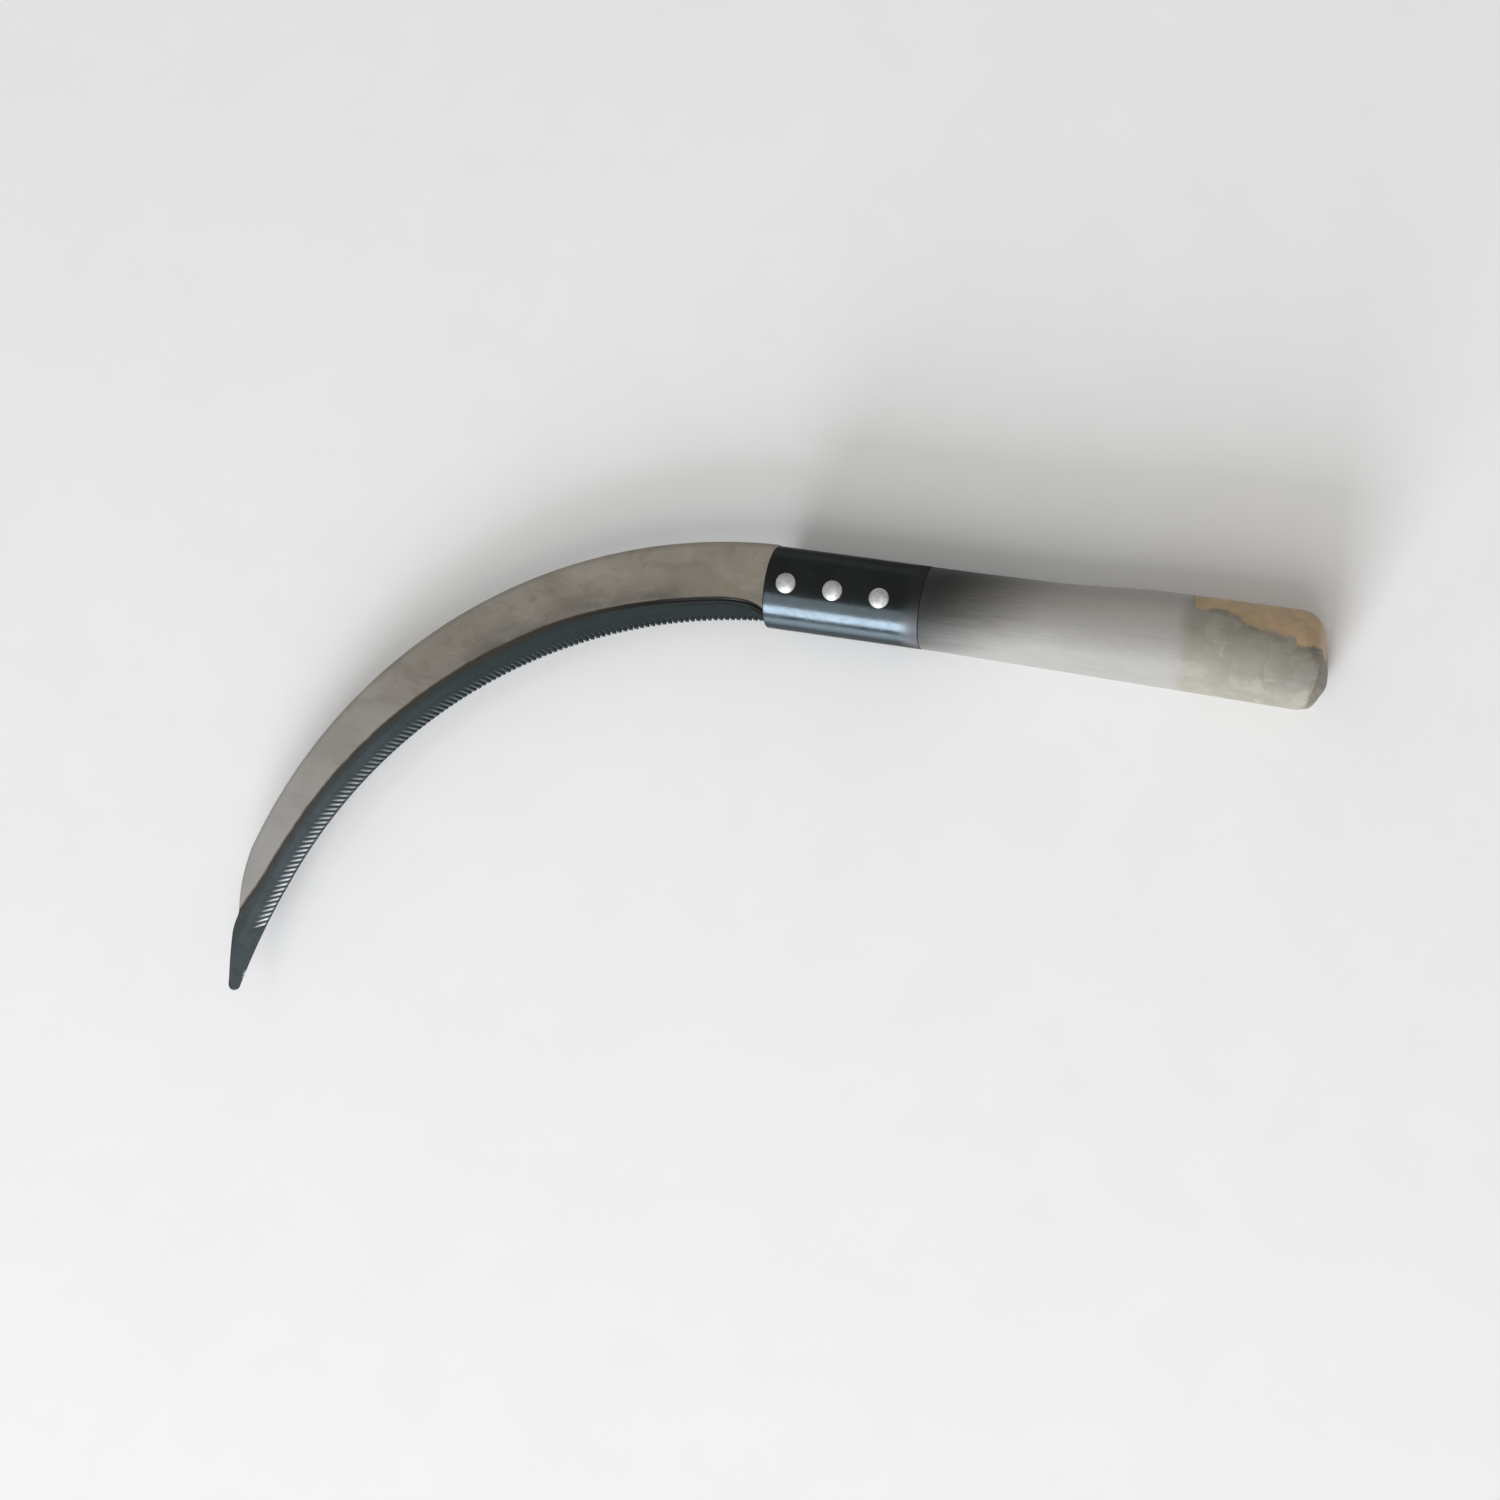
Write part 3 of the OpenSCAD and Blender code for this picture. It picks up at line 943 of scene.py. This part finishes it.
def root_shoulder_shade(m, color, border, along, edge):
    """By the handle the band's border is painted black as painted shade of the shoulder wall, with a dark
    line under it as painted shade of a second ridge.
    """
    shoulder_shade_at, ridge_shade_at, ridge_shade_color = -0.24, -1.9, (0.02, 0.02, 0.02)
    # Painted shade: the shoulder wall by the root is painted black
    shoulder = m.ramp(m.off(border, shoulder_shade_at), 0.46, 0.95, 1.0, 0.0)
    color = m.mix(m.times(shoulder, m.ramp(along, 35, 85, 1.0, 0.0)), color, BLACK)
    # Painted shade: a dark line where a second ridge would cast shade
    ridge = m.ramp(m.off(edge, ridge_shade_at), 0.1, 0.6, 0.5, 0.0)
    ridge = m.times(ridge, m.ramp(along, 20, 44, 1.0, 0.0))
    ridge = m.times(ridge, m.ramp(along, 6, 11))
    return m.mix(ridge, color, ridge_shade_color)


def cut_edge(m, pos, color, across, along, fade, bare, gloss_and_painted_light):
    """Grooves cut after the heat colour, their flanks bare steel painted dimmer towards the handle as painted
    shade, and the dark edge with one painted glint near the tip.
    """
    # Painted shade: the bare flanks are painted dimmer towards the handle and brighter towards the tip,
    # standing in for how the light falls on them
    shaded_cut, lit_cut = (0.047, 0.054, 0.058), (0.27, 0.275, 0.285)
    color = m.mix(bare, color, m.mix(m.math("POWER", gloss_and_painted_light, 1.3), shaded_cut, lit_cut))

    edge_color, glint_color = (0.045, 0.05, 0.055), (0.62, 0.63, 0.65)
    edge_w = m.mix(fade, grey(0.45), grey(0.65))
    keen = m.ramp(m.math("DIVIDE", across, edge_w), 0.4, 1.0, 0.6, 0.0)
    color = m.mix(keen, color, edge_color)

    # Painted highlight: a bright glint on the edge near the tip, broken up by noise
    glint_along = 242.0
    painted_glint = m.ramp(m.off(along, glint_along), 0.8, 2.6, 1.0, 0.0)
    painted_glint = m.times(painted_glint, m.ramp(across, 0.25, 0.7, 1.0, 0.0))
    glint_breakup = m.ramp(m.noise(pos, 520, 2), 0.40, 0.55)
    return m.mix(m.times(painted_glint, glint_breakup), color, glint_color)


def blade_material():
    """Steel: rolled plate, heat-blued ground band and bare grooves.

    across is the distance from the edge, border the distance past the band's border, along the length of edge
    from the handle and groove a groove's depth. fade, and the groove flanks' share of painted light, grow
    from 0 to 1 towards the tip.
    """
    m = Nodes("blade_steel_looks")
    pos = m.coords()
    across, border, along = m.attr("across"), m.attr("border"), m.attr("along")
    groove, fade, gloss_and_painted_light = m.attr("groove"), m.attr("fade"), m.attr("groove_gloss_and_painted_light")
    fine = m.noise(pos, 900, 5, 0.65)
    rolled = m.noise(m.scale(pos, (0.25, 1.0, 1.0)), 700, 4, 0.6)
    edge = m.add(border, m.line(m.noise(pos, 160, 3), 0.2, 0.8, -0.25, 0.25))
    bare = m.ramp(groove, 0.0, 0.16)

    band = band_color(m, pos, across, along, fade, edge)
    body = plate_color(m, pos, across, along, fade, fine)
    color = m.mix(m.ramp(edge, -0.15, 0.95), band, body)
    color = root_shoulder_shade(m, color, border, along, edge)
    color = cut_edge(m, pos, color, across, along, fade, bare, gloss_and_painted_light)

    rough = m.mix(m.ramp(edge, -0.3, 0.3), grey(0.36), grey(0.46))
    rough = m.add(rough, m.line(fine, 0.3, 0.7, -0.05, 0.08))
    rough = m.mix(bare, rough, m.mix(gloss_and_painted_light, grey(0.50), grey(0.38)))
    height = m.add(m.times(fine, 0.5), m.times(rolled, 0.7))
    return m.finish(color, rough, 0.92, m.bump(height, 0.22, 0.00012))


def paint_color(m, grain, cloud, blotch, flakes):
    """Worn grey paint, olive and flaked over the last quarter, grimy by the butt."""
    grey_a, grey_b, grey_dark = (0.37, 0.362, 0.345), (0.345, 0.335, 0.315), (0.315, 0.305, 0.285)
    paint = m.mix(m.ramp(grain, 0.35, 0.7), grey_a, grey_b)
    paint = m.mix(m.ramp(cloud, 0.45, 0.75, 0.0, 0.4), paint, grey_dark)
    # Painted light: the paint on the top side is lightened
    painted_top_light_color = (0.515, 0.49, 0.455)
    paint = m.mix(m.times(m.attr("painted_top_light"), 0.9), paint, painted_top_light_color)

    olive_light, olive_mid, olive_dark = (0.385, 0.365, 0.315), (0.275, 0.26, 0.215), (0.265, 0.25, 0.205)
    olive = m.mix(m.line(flakes, 0.1, 0.9, 0.0, 0.9), olive_light, olive_mid)
    olive = m.mix(m.ramp(blotch, 0.4, 0.6, 0.0, 0.5), olive, olive_dark)
    body = m.mix(m.times(m.attr("worn"), m.ramp(cloud, 0.2, 0.5, 0.6, 1.0)), paint, olive)

    grime_color, shade_color = (0.13, 0.12, 0.10), (0.19, 0.18, 0.145)
    body = m.mix(m.times(m.attr("grime"), m.ramp(blotch, 0.2, 0.7, 0.35, 0.6)), body, grime_color)
    return m.mix(m.times(m.attr("shade"), m.ramp(blotch, 0.25, 0.65, 0.25, 0.6)), body, shade_color)


def bared_wood(m, pos, body, grain, cloud, blotch, flakes):
    """Bare wood, with the paint's dark feathered rim along it, and below it the end grain painted dark,
    partly with its own darker tone and partly as painted shade of the end face.
    """
    bare = m.attr("bare")
    tan = m.mix(m.ramp(blotch, 0.35, 0.65), (0.61, 0.43, 0.265), (0.47, 0.335, 0.195))
    tan = m.mix(m.line(flakes, 0.0, 1.0, 0.0, 0.4), tan, (0.46, 0.37, 0.24))
    tan = m.mix(m.ramp(grain, 0.45, 0.75, 0.0, 0.2), tan, (0.42, 0.30, 0.19))

    rim_color = (0.185, 0.175, 0.14)
    ragged = m.add(bare, m.add(m.line(blotch, 0.2, 0.8, -8, 8), m.line(flakes, 0.0, 1.0, -4, 4)))
    rim = m.ramp(cloud, 0.4, 0.6, 0.15, 0.8)
    body = m.mix(m.times(m.ramp(ragged, -14, -2), rim), body, rim_color)
    body = m.mix(m.ramp(ragged, -4.0, 3.5), body, tan)

    # The end face is painted dark: partly the end grain's own darker tone, partly painted shade of a face
    # turned from the light
    end_grain_and_shade = m.times(m.attr("end_grain_and_shade"), m.ramp(bare, -16, 2, 1.0, 0.0))
    rings = m.noise(m.scale(pos, (300, 900, 250)), 1.0, 4, 0.6, 0.5)
    return m.mix(end_grain_and_shade, body, m.mix(m.ramp(rings, 0.35, 0.65), (0.26, 0.235, 0.19), (0.18, 0.16, 0.13)))


def stained(m, body, grain):
    """Black stain behind the ferrule, streaky along the grain where it wears off."""
    stain, stain_color = m.attr("stain"), (0.012, 0.013, 0.013)
    half_worn = m.times(m.times(stain, m.math("SUBTRACT", 1.0, stain)), 0.35)
    streaks = m.times(m.line(grain, 0.2, 0.8, -1.0, 1.0), half_worn)
    cover = m.math("MULTIPLY", m.add(stain, streaks), 0.945, clamp=True)
    return m.mix(cover, body, stain_color)


def handle_material():
    m = Nodes("handle_wood_looks")
    pos = m.coords()
    grain = m.noise(m.scale(pos, (14, 190, 190)), 6.0, 6, 0.62, 0.3)
    pores = m.noise(m.scale(pos, (60, 1600, 1600)), 1.0, 3, 0.6)
    cloud = m.noise(pos, 70, 4, 0.6, 0.5)
    blotch = m.noise(m.scale(pos, (1.0, 1.2, 1.2)), 130, 4, 0.6, 0.4)
    flakes = m.cells(m.warped(m.scale(pos, (1.0, 0.8, 0.8)), 260, 0.0022), 190)

    body = paint_color(m, grain, cloud, blotch, flakes)
    body = bared_wood(m, pos, body, grain, cloud, blotch, flakes)
    body = stained(m, body, grain)
    pore_color = (0.14, 0.135, 0.12)
    body = m.mix(m.ramp(pores, 0.6, 0.75, 0.0, 0.2), body, pore_color)

    rough = m.line(grain, 0.2, 0.8, 0.62, 0.5)
    height = m.add(grain, m.times(pores, 0.5))
    height = m.add(height, m.times(m.times(flakes, m.attr("worn")), 0.35))
    return m.finish(body, rough, 0.0, m.bump(height, 0.22, 0.0002), Specular_IOR_Level=0.3)


def ferrule_material():
    """Black-blued tube with painted light: its top is painted darker as painted shade, and its lower side and
    underside are painted bluer and lighter as painted reflection. Its last millimetres are dull under the
    overrun of the handle's stain.
    """
    m = Nodes("ferrule_steel_looks")
    pos = m.coords()
    to_end, below, under = m.attr("to_end"), m.attr("below"), m.attr("under")
    cloud = m.noise(pos, 90, 4, 0.6)
    fine = m.noise(m.scale(pos, (0.3, 1, 1)), 1500, 4, 0.6)
    mottle = m.noise(pos, 420, 4, 0.6)
    dents = m.noise(m.scale(pos, (0.6, 1, 1)), 230, 2, 0.5)

    # Painted light: the top is painted darker as painted shade, and the lower side is painted bluer as
    # painted reflection
    lower = m.mix(m.ramp(cloud, 0.3, 0.7), (0.044, 0.056, 0.063), (0.053, 0.067, 0.076))
    top_with_painted_shade = m.mix(m.ramp(cloud, 0.3, 0.7), (0.032, 0.035, 0.035), (0.040, 0.044, 0.045))
    color = m.mix(below, top_with_painted_shade, lower)
    # The underside colour is a painted reflection, lighter and bluer than the rest of the tube
    underside, scuffed = (0.078, 0.096, 0.105), (0.10, 0.11, 0.115)
    color = m.mix(under, color, underside)
    scuffs = m.noise(m.turned(pos, 0.4, (0.06, 1.0, 1.0)), 800, 3, 0.6)
    color = m.mix(m.ramp(scuffs, 0.62, 0.8, 0.0, 0.5), color, scuffed)
    rough = m.add(m.line(cloud, 0.2, 0.8, 0.17, 0.24), m.line(mottle, 0.3, 0.7, -0.04, 0.07))

    dull = m.ramp(to_end, 0.8, 7.8, 1.0, 0.0)
    # The dull end keeps the painted light: its top is darker as painted shade, and its lower side and
    # underside are lighter as painted reflection
    dull_top_with_painted_shade, dull_lower_with_painted_light = (0.046, 0.048, 0.048), (0.074, 0.080, 0.084)
    dull_underside_with_painted_light = (0.16, 0.168, 0.172)
    dull_color = m.mix(below, dull_top_with_painted_shade, m.mix(under, dull_lower_with_painted_light, dull_underside_with_painted_light))
    color = m.mix(dull, color, dull_color)
    rough = m.mix(dull, rough, grey(0.55))
    normal = m.bump(fine, 0.10, 0.00006, m.bump(dents, 0.12, 0.0003))
    return m.finish(color, rough, 1.0, normal, Specular_Tint=(0.5, 0.5, 0.5, 1.0))


def rivet_material():
    """Bright dull metal with a few dark pits."""
    m = Nodes("rivet_metal_looks")
    pos = m.coords()
    cloud = m.noise(pos, 420, 4, 0.6, 0.5)
    fine = m.noise(pos, 2600, 4, 0.6)
    pit_color = (0.18, 0.165, 0.15)
    color = m.mix(m.ramp(cloud, 0.35, 0.7), (0.74, 0.735, 0.73), (0.54, 0.535, 0.53))
    color = m.mix(m.ramp(m.noise(pos, 700, 3), 0.62, 0.72, 0.0, 0.7), color, pit_color)
    rough = m.line(cloud, 0.2, 0.8, 0.52, 0.68)
    return m.finish(color, rough, 0.85, m.bump(m.add(cloud, fine), 0.3, 0.00012))


def floor_material():
    """Pale satin table top: its sheen at a low angle lights the tube's underside."""
    m = Nodes("floor_looks")
    fine = m.noise(m.coords(), 40, 3)
    color = m.mix(m.ramp(fine, 0.2, 0.8), grey(0.93), grey(0.95))
    return m.finish(color, 0.12, 0.0, Specular_IOR_Level=1.0)


def give(obj, material):
    obj.data.materials.clear()
    obj.data.materials.append(material)


# ------------------------------------------------------------------ assemble
blade = build_blade()
handle = build_handle()
ferrule = build_ferrule()
rivets = [
    build_rivet(f"domed_{name}", name, x_c, y_c, top_z, seed)
    for seed, (name, x_c, y_c, top_z) in enumerate(RIVETS)
]
give(blade, blade_material())
give(handle, handle_material())
give(ferrule, ferrule_material())
metal = rivet_material()
for rivet in rivets:
    give(rivet, metal)

# ------------------------------------------------------------------ stage and light
FLOOR_HALF = 6000.0
floor_z = cad_box[0][2] / MM - 0.2
floor_corners = [(x * FLOOR_HALF, y * FLOOR_HALF, floor_z) for x, y in ((-1, -1), (1, -1), (1, 1), (-1, 1))]
floor = new_object("floor", floor_corners, [(0, 1, 2, 3)])
give(floor, floor_material())

world = bpy.data.worlds.new("studio")
world.use_nodes = True
background = world.node_tree.nodes["Background"]
background.inputs["Color"].default_value = (1.0, 0.99, 0.97, 1)
background.inputs["Strength"].default_value = 0.40
bpy.context.scene.world = world

LIT_POINT = Vector((MOUTH * MM - 0.03, -0.03, 0.0))


def area_light(name, azimuth, elevation, distance, size, radiance, color):
    """Rectangular softbox seen from the lit point at an azimuth (from -Y towards -X) and an elevation."""
    az, el = math.radians(azimuth), math.radians(elevation)
    way = Vector((-math.sin(az) * math.cos(el), -math.cos(az) * math.cos(el), math.sin(el)))
    data = bpy.data.lights.new(name, "AREA")
    data.shape = "RECTANGLE"
    data.size, data.size_y = size
    data.energy = radiance * math.pi * size[0] * size[1]
    data.color = color
    obj = bpy.data.objects.new(name, data)
    obj.location = LIT_POINT + way * distance
    obj.rotation_euler = way.to_track_quat("Z", "Y").to_euler()
    bpy.context.scene.collection.objects.link(obj)


area_light("window", 7, 20, 3.2, (1.64, 1.40), 13.0, (0.965, 0.99, 1.045))
area_light("softbox", -3, 51, 3.8, (3.2, 2.3), 2.0, (1.0, 0.995, 0.975))

# ------------------------------------------------------------------ camera
TILT = math.radians(14.5)
ROLL = math.radians(8.65)
AWAY = 1.1
AIM = Vector((MOUTH * MM + 0.00035, -0.05575, 0))

camera_data = bpy.data.cameras.new("camera")
camera_data.sensor_width = 36
camera_data.lens = 78.1
camera_data.clip_start = 0.01
camera = bpy.data.objects.new("camera", camera_data)
back = Vector((math.sin(TILT), 0, math.cos(TILT)))
level_right = Vector((math.cos(TILT), 0, -math.sin(TILT)))
level_up = back.cross(level_right)
right = level_right * math.cos(ROLL) + level_up * math.sin(ROLL)
up = level_up * math.cos(ROLL) - level_right * math.sin(ROLL)
turn = Matrix((right, up, back)).transposed().to_4x4()
camera.matrix_world = Matrix.Translation(AIM + back * AWAY) @ turn
bpy.context.scene.collection.objects.link(camera)
bpy.context.scene.camera = camera

view = bpy.context.scene.view_settings
view.view_transform = "Standard"
view.look = "None"
